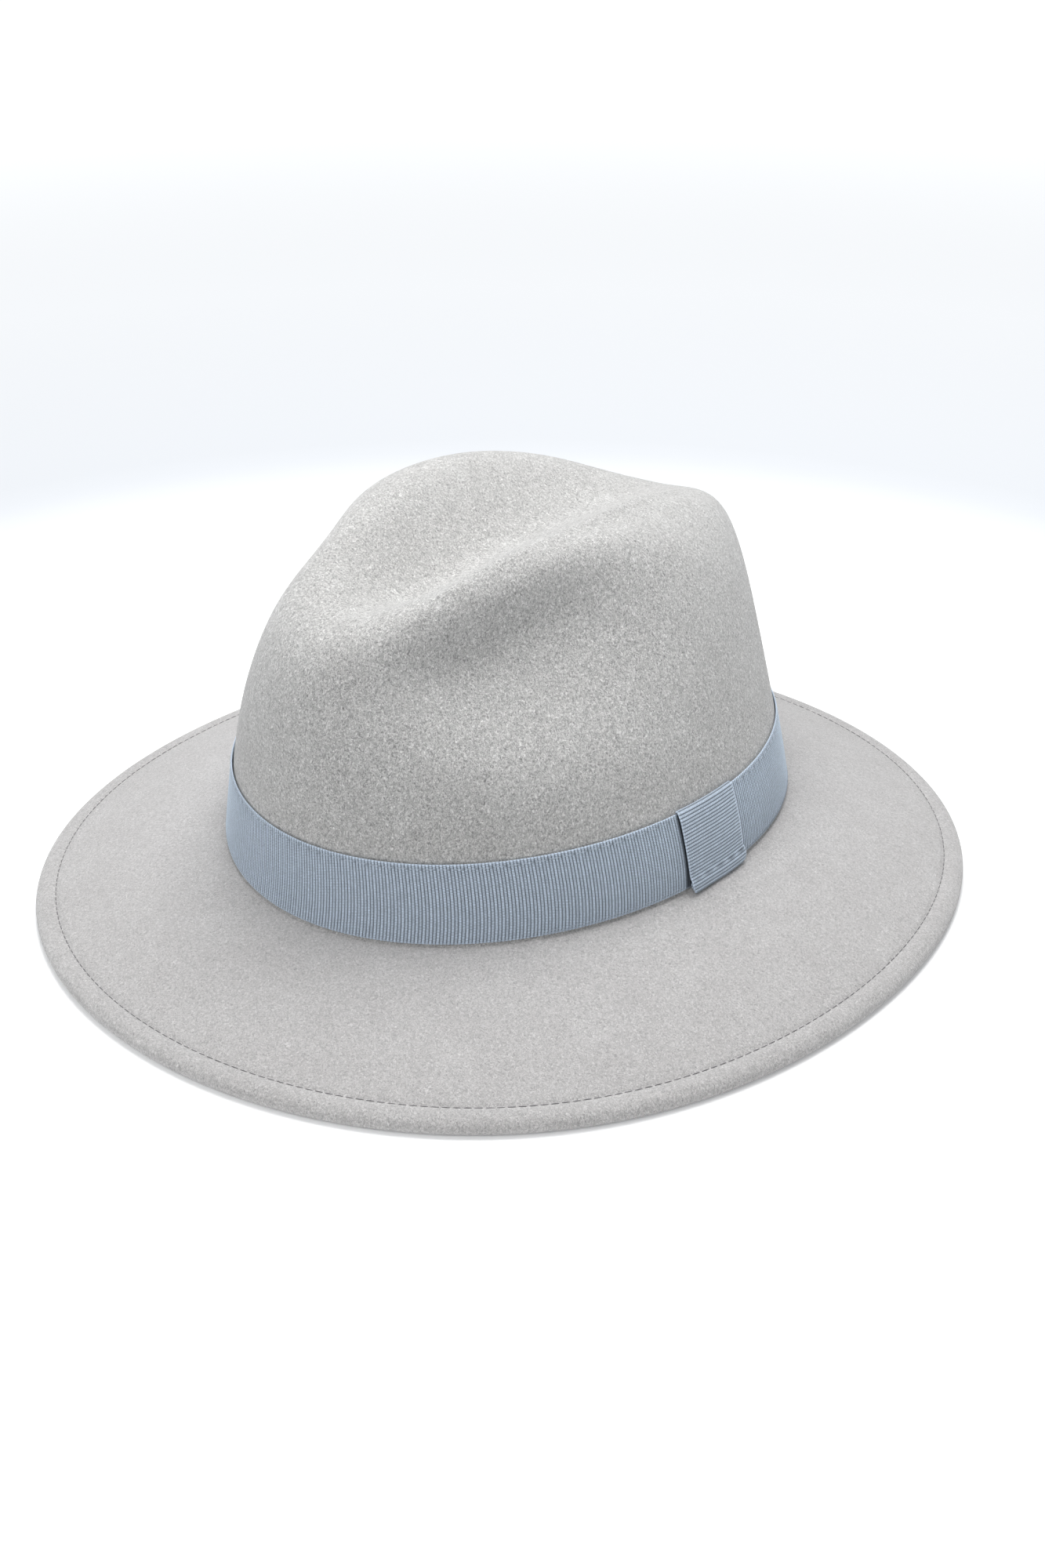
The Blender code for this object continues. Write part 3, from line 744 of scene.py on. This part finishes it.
RIB_PHASES = (0.0, 0.13, 0.37, 0.63, 0.87)  # where each rib has points, as shares of its width
EDGE_ROWS = (0.0, 0.15, 0.3, 0.5, 0.8, 1.15, 1.5, 2.0)  # distances from the selvedge
MIDDLE_ROWS = 7
BACK_ROWS = (0, 3, 11, -4, -1)  # the plain back has only these of the face's rows
BACK_SHAPE = (0.4, 1, 1, 1, 0.4)  # it is thinner at its edges
RIB_ROUND = 0.6  # below 1, so the ribs are broad and the valleys between them narrow
RIB_LEVEL = 0.6  # a rib is level with the ribbon's own face at this share of its height
LOOP = 0.26  # how far each rib's loop stands out of the selvedge
DENT = 0.2  # how deep a stitch pulls the ribbon in


def ribbon_rows(width):
    low = np.array(EDGE_ROWS)
    middle = np.linspace(low[-1], width - low[-1], MIDDLE_ROWS + 2)[1:-1]
    return np.concatenate([low, middle, width - low[::-1]])


def ribbon_sheet(place, length, width, closed, dimple_and_shade, back_shade=0.0):
    """A grosgrain ribbon as a closed thin solid: ribs, looped selvedges and a plain back.

    place(along, across, out) gives points; along runs the ribbon's length in millimetres.
    dimple(along, across) is 1 where the ribbon is pulled in and shade is painted on it, and 0 away
    from it. back_shade is shade painted over the plain back."""
    ribs = int(round(length / RIB_PITCH))
    along = (np.arange(ribs)[:, None] + np.array(RIB_PHASES)).reshape(-1, 1)
    if not closed:
        along = np.concatenate([along, [[float(ribs)]]])
    count = len(along)
    pitch = length / ribs
    rows = ribbon_rows(width)[None]
    near_edge = np.minimum(rows, width - rows)
    rib = np.abs(np.sin(pi * along)) ** RIB_ROUND
    face = RIBBON / 2 + RIB_DEPTH * (rib - RIB_LEVEL) * smooth(near_edge, -0.5, 0.9)
    face = face * (0.45 + 0.55 * smooth(near_edge, 0, 0.3))
    dents_and_shade = dimple_and_shade(along * pitch, rows)
    scallop = LOOP * (rib - RIB_LEVEL) * np.exp(-((near_edge / 0.4) ** 2))
    across = rows + np.where(rows < width / 2, -scallop, scallop)
    front = place(along * pitch, across, face - DENT * dents_and_shade)
    back_rows = rows[:, ::-1][:, BACK_ROWS]
    back_out = np.tile(-RIBBON / 2 * np.array(BACK_SHAPE), (count, 1))
    back = place(along * pitch, back_rows, back_out)
    points = np.concatenate([front, back], 1)
    columns = points.shape[1]
    faces = grid_faces(count, columns, closed, True)
    if not closed:
        faces += caps(count, columns)
    rows = np.concatenate([rows, back_rows], 1)
    uv = np.stack(np.broadcast_arrays(along, rows), -1)
    # The selvedge mask carries the painted highlight on the edge loops.
    loops = np.exp(-((np.minimum(rows, width - rows) / 0.33) ** 2)) * (0.35 + 0.65 * rib)
    # Painted shade: the back faces take back_shade, so the tab's back is darkened all over.
    dents_and_shade = np.concatenate([dents_and_shade, np.full_like(back_out, back_shade)], 1)
    return points, faces, uv, {"selvedge": loops, "dent_and_shade": dents_and_shade}


TOP_SEAM = BAND_HEIGHT - 1.5
TOP_RIBS = 4  # ribs from one top stitch to the next
TOP_STITCH = (0.06, 0.94)  # where a top stitch starts and ends, as shares of its step
OVERCAST = (0.15, 0.9)  # where an overcast stitch starts and ends, in ribs
OVERCAST_HEIGHT = (0.05, 1.35)
TIE_RIBS = 3
TIE_HEIGHT = 1.4


def band_line(t):
    return wall(t, BAND_OFFSET + RIBBON / 2, BAND_HEIGHT / 2 + 0 * t)


BAND_ANGLES = np.linspace(BAND_JOIN, BAND_JOIN + 2 * pi, 4000)
BAND_LENGTHS = lengths(band_line(BAND_ANGLES))


def band_angle(along):
    return np.interp(along, BAND_LENGTHS, BAND_ANGLES)


def band_place(along, across, out):
    t = band_angle(along)
    slack = 0.0576 * np.sin(5 * t + 1.0) + 0.0384 * np.sin(11 * t)
    slack = slack * smooth(across, BAND_HEIGHT * 0.4, BAND_HEIGHT)
    return wall(t, BAND_OFFSET + RIBBON / 2 + BAND_EASE + slack + out, across)


def hat_band(finish):
    front_edge = np.interp(TAB_SPAN[0] + 2 * pi, BAND_ANGLES, BAND_LENGTHS)

    def dimple_and_shade(along, across):
        step = RIB_PITCH * TOP_RIBS
        phase = ((along / step + 0.5) % 1 - 0.5) * step
        # The top seam's dimples sink a little and have shade painted into them.
        seam = np.exp(-((phase / 0.7) ** 2) - ((across - TOP_SEAM) / 0.45) ** 2)
        # Painted shadow in the gap at the tab's front edge and on the band under the tab, where the
        # band also sinks a little.
        tab_gap_shadow = smooth(along, front_edge - 0.5, front_edge + 0.1)
        return np.maximum(0.55 * seam, tab_gap_shadow)

    total = BAND_LENGTHS[-1]
    points, faces, uv, values = ribbon_sheet(band_place, total, BAND_HEIGHT, True, dimple_and_shade)
    band = make_piece("grosgrain_band", points, faces, finish, ["hat_band"], uv, values)


def band_stitches(finish):
    """A long, fine stitch lies over every four ribs under the top edge."""
    ribs = int(round(BAND_LENGTHS[-1] / RIB_PITCH))
    step = BAND_LENGTHS[-1] / ribs * TOP_RIBS
    lines, ups = [], []
    for k in range(int(BAND_LENGTHS[-1] // step)):
        along = (k + np.linspace(*TOP_STITCH, 9)) * step
        t = band_angle(along)
        if np.any((t > TAB_SPAN[0] + 2 * pi - 0.01) | (t < TAB_SPAN[1] + 0.01)):
            continue  # the tab covers it
        height = TOP_SEAM + RANDOM.uniform(-0.08, 0.08)
        lines.append(band_place(along, height, 0.12 + 0.2 * hump(9, 0.3)))
        ups.append(outward(t))
    points, faces = tubes(lines, ups, BAND_THREAD)
    make_piece("band_top_stitches", points, faces, finish, ["band_top_thread"])


def edge_stitches(part, start, end, finish):
    """Overcast stitches over the band's lower edge, tied by a line just above it."""
    first, last = np.interp([start, end], BAND_ANGLES, BAND_LENGTHS)
    count = int((last - first) / RIB_PITCH)
    lines, ups = [], []
    for k in range(count):
        along = first + RIB_PITCH * (k + np.linspace(*OVERCAST, 6))
        lines.append(band_place(along, np.linspace(*OVERCAST_HEIGHT, 6), 0.3 + 0.1 * hump(6, 1)))
        ups.append(outward(band_angle(along)))
    for k in range(count // TIE_RIBS):
        along = first + RIB_PITCH * (TIE_RIBS * k + np.linspace(0.1, TIE_RIBS - 0.1, 8))
        lines.append(band_place(along, TIE_HEIGHT, 0.22 + 0.16 * hump(8, 0.4)))
        ups.append(outward(band_angle(along)))
    points, faces = tubes(lines, ups, BAND_THREAD)
    node = f"band_bottom_thread_{part}"
    make_piece(f"edge_stitches_{part}", points, faces, finish, [node])


# The tab's path down the band, as (outward, height) points: over the top edge, down the face,
# out over its own folded hem and back up behind it.
TAB_PATH = (
    (0.35, 26.5), (0.5, 26.8), (0.9, 27.0), (1.25, 26.8), (1.4, 26.1), (1.45, 23), (1.45, 19),
    (1.45, 15), (1.45, 11), (1.48, 7.5), (1.6, 5), (1.78, 4), (2.3, 3.0), (2.6, 2.0), (2.8, 0.8),
    (2.85, -0.4), (2.75, -1.15), (2.45, -1.4), (2.15, -1.15), (2.0, -0.3), (1.9, 1.0), (1.8, 2.4),
)
HEM_SEAM = 25.0  # along the path from the top
HEM_STITCHES = (3.7, 9.3, 14.9, 20.5)  # where each stitch starts, across the tab
HEM_STITCH = 1.6
# Each of these dimples also has shade painted into it.
HEM_DIMPLES = (1.9, 7.3, 12.7, 18.1, 23.5)  # between the stitches the seam pulls the tab in
TAB_LIFT = 0.65  # how far the front edge stands off the band
TAB_CORNER = (0.09, 5.0)  # the tab narrows by this share, this far below the seam


def tab_curve():
    """The path as a smooth line through all its points."""
    knots = np.array(TAB_PATH)
    padded = np.concatenate([[2 * knots[0] - knots[1]], knots, [2 * knots[-1] - knots[-2]]])
    line = []
    for a, b, c, d in zip(padded, padded[1:], padded[2:], padded[3:]):
        square, cube = 2 * a - 5 * b + 4 * c - d, 3 * b - a - 3 * c + d
        for k in np.linspace(0, 1, 12, endpoint=False):
            line.append(0.5 * (2 * b + (c - a) * k + square * k**2 + cube * k**3))
    return np.array(line + [knots[-1]])


TAB_LINE = tab_curve()
TAB_LENGTHS = lengths(TAB_LINE)


def tab_angle(share):
    """The place round the crown of a share of the tab's width, from its rear edge."""
    return TAB_SPAN[1] + (TAB_SPAN[0] - TAB_SPAN[1]) * share


def tab_place(along, across, out):
    """along runs down the tab, across from its rear edge to its front edge."""
    slope = np.gradient(TAB_LINE, TAB_LENGTHS, axis=0)
    at = [np.interp(along, TAB_LENGTHS, TAB_LINE[:, k]) for k in (0, 1)]
    way = [np.interp(along, TAB_LENGTHS, slope[:, k]) for k in (0, 1)]
    share = across / BAND_HEIGHT
    narrowing, below = TAB_CORNER
    corner = narrowing * np.exp(-(((along - HEM_SEAM - below) / 1.6) ** 2))
    curve = 0.012 * np.sin(pi * along / HEM_SEAM) * share
    t = tab_angle(0.5 + (share - 0.5) * (1 - corner) + curve)
    size = np.hypot(*way)
    lift = TAB_LIFT * smooth(share, 0.62, 1.0) + 0.12 * np.sin(pi * share)
    off_wall = at[0] + lift * smooth(along, 0.5, 5) - way[1] / size * out
    return wall(t, off_wall, at[1] + way[0] / size * out)


def band_tab(finish):
    def dimple_and_shade(along, across):
        # The hem seam's dimples sink a little and have shade painted into them.
        seam = ((along - HEM_SEAM) / 0.75) ** 2
        return 0.7 * sum(np.exp(-seam - ((across - at) / 1.1) ** 2) for at in HEM_DIMPLES)

    total = TAB_LENGTHS[-1]
    # back_shade paints shade over the tab's whole back.
    points, faces, uv, values = ribbon_sheet(
        tab_place, total, BAND_HEIGHT, False, dimple_and_shade, back_shade=1.0
    )
    tab = make_piece("grosgrain_tab", points, faces, finish, ["band_tab"], uv, values)


def tab_stitches(finish):
    lines, ups = [], []
    for start in HEM_STITCHES:
        across = np.linspace(start, start + HEM_STITCH, 7)
        lines.append(tab_place(HEM_SEAM, across, 0.22 * hump(7, 0.5)))
        ups.append(outward(tab_angle(across / BAND_HEIGHT)))
    points, faces = tubes(lines, ups, TAB_THREAD)
    make_piece("tab_stitches", points, faces, finish, ["tab_thread"])


# ---- inside the crown ---------------------------------------------------------------------

REED = 0.8
TAPE = 0.4
TAPE_GAP = 0.25  # between the reed and the tape round it
TAPE_LEGS = (0.3, 1.4)  # the outer faces of its two legs, inward of the felt
TAPE_TOP = 8.0
TAPE_RIB = 0.7
TAPE_ROOM = REED + TAPE_GAP
BULB = TAPE_ROOM + TAPE
BULB_INWARD = TAPE_LEGS[0] + BULB
SWEATBAND_FACE = 2.5  # its inner face, inward of the felt
SWEATBAND = 0.7
SWEATBAND_SPAN = (1.2, 34.0)
SWEATBAND_JOIN = 0.003  # half the angle between its two ends
SEAM_HEIGHT = 4.5
ZIGZAG_HEIGHTS = range(6, 31, 3)
ZIGZAG_SIDE = 0.022  # how far it reaches past the join


def sweatband(finish):
    """A leather strip whose ends meet at the back; its top edge leans in a little."""
    start, end = BACK + SWEATBAND_JOIN, BACK + 2 * pi - SWEATBAND_JOIN
    t = np.linspace(start, end, 361)[:, None]
    low, high = SWEATBAND_SPAN
    heights = np.linspace(low, high, 18)[None]
    ease = 0.5 * smooth(heights, 12, high) * (1 + 0.5 * np.sin(7 * t + 1) + 0.4 * np.sin(12 * t))
    front = inside(t, SWEATBAND_FACE + ease, heights)
    round_top = inside(t, SWEATBAND_FACE - SWEATBAND / 2 + ease[:, -1:], high + 0.2)
    back = inside(t, SWEATBAND_FACE - SWEATBAND + ease[:, ::-3], heights[:, ::-3])
    points = np.concatenate([front, round_top, back], 1)
    rows, columns = points.shape[:2]
    faces = grid_faces(rows, columns, False, True) + caps(rows, columns)
    band = make_piece("leather_sweatband", points, faces, finish, ["sweatband"])
    length = lengths(front[:, 8])[-1]


def circle(radius, first, last, step):
    """Points round the reed, as inward distances and heights, between two angles in degrees."""
    turns = [radians(a) for a in range(first, last, step)]
    return [(BULB_INWARD + radius * cos(a), BREAK + radius * sin(a)) for a in turns]


def reed_tape(finish):
    """Two legs that come together above the reed, and a bulb round it."""
    t = np.arange(AROUND) * 2 * pi / AROUND
    near, far = TAPE_LEGS
    outer = [(near, TAPE_TOP)] + circle(BULB, 180, 421, 20)
    outer += [(far, BREAK + 1.95), (far, TAPE_TOP)]
    inner = [(far - TAPE, TAPE_TOP), (far - TAPE, BREAK + 0.8)] + circle(TAPE_ROOM, 80, -161, -30)
    inner += [(near + TAPE, BREAK + 0.2), (near + TAPE, TAPE_TOP)]
    loop = np.array(outer + inner)
    points = inside(t[:, None], loop[None, :, 0], loop[None, :, 1])
    faces = grid_faces(*points.shape[:2], True, True)
    along = lengths(points[:, 0])
    uv = np.stack(np.broadcast_arrays(along[:, None] / TAPE_RIB, lengths(loop)[None]), -1)
    tape = make_piece("woven_reed_tape", points, faces, finish, ["reed_tape"], uv)
    width = lengths(np.array(outer))[-1]


def sweatband_stitches(finish):
    """A seam along the lower edge, and a zigzag that draws the band's two ends together."""

    def place(t, above):
        return inside(t, SWEATBAND_FACE + above, SEAM_HEIGHT)

    start, end = BACK + 0.02, BACK + 2 * pi - 0.02
    lines, ups = row_of_stitches(place, outward, start, end, **SWEATBAND_SEAM)
    share = np.linspace(-1, 1, 6)
    t = BACK + share * ZIGZAG_SIDE
    for height in ZIGZAG_HEIGHTS:
        rise = SWEATBAND_FACE + 0.1 + 0.14 * (1 - share**2) + 0.5 * smooth(height, 12, 34)
        lines.append(inside(t, rise, height + share * 1.2))
        ups.append(outward(t))
    points, faces = tubes(lines, ups, SWEATBAND_THREAD, sides=5)
    make_piece("sweatband_stitches", points, faces, finish, ["sweatband_thread"])


BOW_RIBBON = (5.0, 0.15)  # width, and half its thickness
BOW_RIB = 0.8
BOW_HEIGHT = 9.0
BOW_INWARD = SWEATBAND_FACE + 0.9


def bow_strip(path, half_width):
    """A length of ribbon along a path of (sideways, up, inward) points: points, faces, weave."""
    across = np.linspace(-1, 1, 5)
    way = unit(np.gradient(path, axis=0))
    side = np.broadcast_to([0.0, 1.0, 0.0], way.shape)
    out = unit(np.cross(way, side))[:, None]
    middle = path[:, None] + side[:, None] * (across[None, :, None] * half_width[:, None, None])
    thick = out * BOW_RIBBON[1] * (1 - 0.5 * np.abs(across)[None, :, None] ** 4)
    local = np.concatenate([middle + thick, (middle - thick)[:, ::-1]], 1)
    t = BACK + local[..., 0] / HALF_WIDTH
    points = inside(t, BOW_INWARD + local[..., 2], BOW_HEIGHT + local[..., 1])
    rows, columns = points.shape[:2]
    faces = grid_faces(rows, columns, False, True) + caps(rows, columns)
    weave = (lengths(path)[:, None] / BOW_RIB, np.tile(across, 2)[None] * half_width[:, None])
    return points, faces, np.stack(np.broadcast_arrays(*weave), -1).reshape(-1, 2)


def bow(finish):
    """A small ribbon bow at the back: two flattened loops, two tails and a wrapped knot."""
    strips = []
    half = BOW_RIBBON[0] / 2
    turn = np.linspace(0.12, 2 * pi - 0.12, 26)
    share = np.linspace(0, 1, 10)
    for side in (-1, 1):
        x = side * (6.2 - 5.4 * np.cos(turn))
        lift = 0.75 + 0.75 * np.sin(turn) * (0.6 + 0.4 * np.cos(turn / 2))
        strips.append(bow_strip(stack(x, 0, lift), half * (0.45 + 0.55 * np.sin(turn / 2))))
        tail = stack(side * (0.8 + 8.0 * share), -3.2 * share, 0.25 + 0.1 * np.sin(pi * share))
        strips.append(bow_strip(tail, half * (0.45 + 0.4 * share)))
    turn = np.linspace(0, 2 * pi, 17)
    knot = stack(1.9 * np.cos(turn), 0, 1.15 + 0.85 * np.sin(turn))
    strips.append(bow_strip(knot, np.full(len(turn), 1.5)))
    points, faces = join([(strip[0], strip[1]) for strip in strips])
    uv = np.concatenate([strip[2] for strip in strips])
    make_piece("ribbon_bow", points, faces, finish, ["sweatband_bow"], uv)


# ---- stage --------------------------------------------------------------------------------

CAMERA_TURN = radians(40.76)
CAMERA_RISE = radians(28.09)
CAMERA_AWAY = 0.7625
CAMERA_LENS = 50
CAMERA_SENSOR = 36
CAMERA_SHIFT = (0.0039, 0.0014)  # its aim, right of and above the middle of the crown's foot
CAMERA_RIGHT = Vector((cos(CAMERA_TURN), sin(CAMERA_TURN), 0))
BEHIND = Vector((-sin(CAMERA_TURN), cos(CAMERA_TURN), 0))  # from the camera past the hat

# Each light's name, its place (behind, right of and above the hat), its width and its watts.
LIGHTS = (
    ("overhead", (0.12, 0.04, 0.80), 0.6, 7.4),
    ("front_fill", (-0.75, -0.45, 0.85), 0.8, 4.2),
)
LIT_POINT = Vector((0, 0, 0.07))
WORLD_COLOUR = (0.95, 0.975, 1.0, 1)
WORLD_STRENGTH = 0.37
TABLE_SIZE = 12
TABLE_REACH = 2.5  # the table's shades are set at shares of this distance from the hat


def camera():
    level = cos(CAMERA_RISE)
    back = Vector((sin(CAMERA_TURN) * level, -cos(CAMERA_TURN) * level, sin(CAMERA_RISE)))
    aim = Vector((0, FRONT_SHIFT * MM, BAND_FOOT * MM))
    aim += CAMERA_RIGHT * CAMERA_SHIFT[0] + back.cross(CAMERA_RIGHT) * CAMERA_SHIFT[1]
    data = bpy.data.cameras.new("camera")
    data.lens = CAMERA_LENS
    data.sensor_width = CAMERA_SENSOR
    item = bpy.data.objects.new("camera", data)
    item.location = aim + back * CAMERA_AWAY
    item.rotation_mode = "QUATERNION"
    item.rotation_quaternion = (-back).to_track_quat("-Z", "Y")
    bpy.context.scene.collection.objects.link(item)
    bpy.context.scene.camera = item


def floor():
    """A wide white table, blown out by the light and by a painted glow, with a pale blue-grey ring
    beyond the hat.
    """
    m = Nodes("table")
    distance = m.add("ShaderNodeVectorMath", operation="LENGTH")
    m.link(m.place(), distance.inputs[0])
    away = m.math("DIVIDE", distance.outputs["Value"], TABLE_REACH, clamp=True)
    colour = m.ramp(away, (0.115, 0.88), (0.17, (0.66, 0.68, 0.71)), (0.5, 0.88))
    # Painted light: the table glows a little near the hat, which thins the shadow under the brim, and
    # more further out, where the lamps' light falls off.
    painted_glow = m.ramp(away, (0.13, 0.16), (0.18, 0.11), (0.3, 0.34), (0.6, 0.75))
    m.shader.inputs["Emission Color"].default_value = (0.96, 0.98, 1.0, 1)
    m.link(painted_glow, m.shader.inputs["Emission Strength"])
    finish = m.finish(colour, 0.9, specular=0.1)
    below = m.add("ShaderNodeMixShader")  # clear from below, so that the hat's underside shows
    m.link(m.add("ShaderNodeNewGeometry").outputs["Backfacing"], below.inputs[0])
    m.link(m.shader.outputs[0], below.inputs[1])
    m.link(m.add("ShaderNodeBsdfTransparent").outputs[0], below.inputs[2])
    m.link(below.outputs[0], m.tree.nodes["Material Output"].inputs["Surface"])
    bpy.ops.mesh.primitive_plane_add(size=TABLE_SIZE)
    table = bpy.context.object
    table.name = "table"
    table.data.materials.append(finish)


def area_light(name, place, size, power):
    data = bpy.data.lights.new(name, "AREA")
    data.shape = "DISK"
    data.size = size
    data.energy = power
    item = bpy.data.objects.new(name, data)
    item.location = place
    item.rotation_mode = "QUATERNION"
    item.rotation_quaternion = (LIT_POINT - place).to_track_quat("-Z", "Y")
    bpy.context.scene.collection.objects.link(item)


def lights():
    for name, (behind, right, up), size, power in LIGHTS:
        place = BEHIND * behind + CAMERA_RIGHT * right + Vector((0, 0, up))
        area_light(name, place, size, power)
    world = bpy.data.worlds.new("studio")
    world.use_nodes = True
    background = world.node_tree.nodes["Background"]
    background.inputs["Color"].default_value = WORLD_COLOUR
    background.inputs["Strength"].default_value = WORLD_STRENGTH
    bpy.context.scene.world = world
    bpy.context.scene.view_settings.view_transform = "Standard"


# ---- the hat ------------------------------------------------------------------------------


def restyle(node, finish):
    """Gives a piece that is shown as the CAD has it a finish."""
    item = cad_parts[node]
    item.data.shade_smooth()
    for slot in item.material_slots:
        slot.material = finish


def main():
    ribbon = grosgrain_material("grosgrain")
    light_thread = thread_material("ribbon_thread", LIGHT_THREAD)
    dark_thread = thread_material("thread", DARK_THREAD)
    felt_hood(felt_material())
    welt_stitches("welt_top_stitches", "welt_needle_thread", 1, dark_thread)
    welt_stitches("welt_under_stitches", "welt_bobbin_thread", -1, dark_thread)
    hat_band(ribbon)
    band_tab(ribbon)
    band_stitches(light_thread)
    edge_stitches("front", 2 * pi - EDGE_STITCHES[0], 2 * pi + TAB_SPAN[0], light_thread)
    edge_stitches("rear", TAB_SPAN[1], EDGE_STITCHES[1], light_thread)
    tab_stitches(light_thread)
    sweatband(leather_material())
    reed_tape(grosgrain_material("reed_tape", TAPE_GREY))
    sweatband_stitches(dark_thread)
    bow(grosgrain_material("bow_ribbon"))
    steel = steel_material()
    restyle("brim_wire", steel)
    restyle("wire_joiner", steel)
    restyle("sweatband_reed", plastic_material())
    floor()
    camera()
    lights()


main()
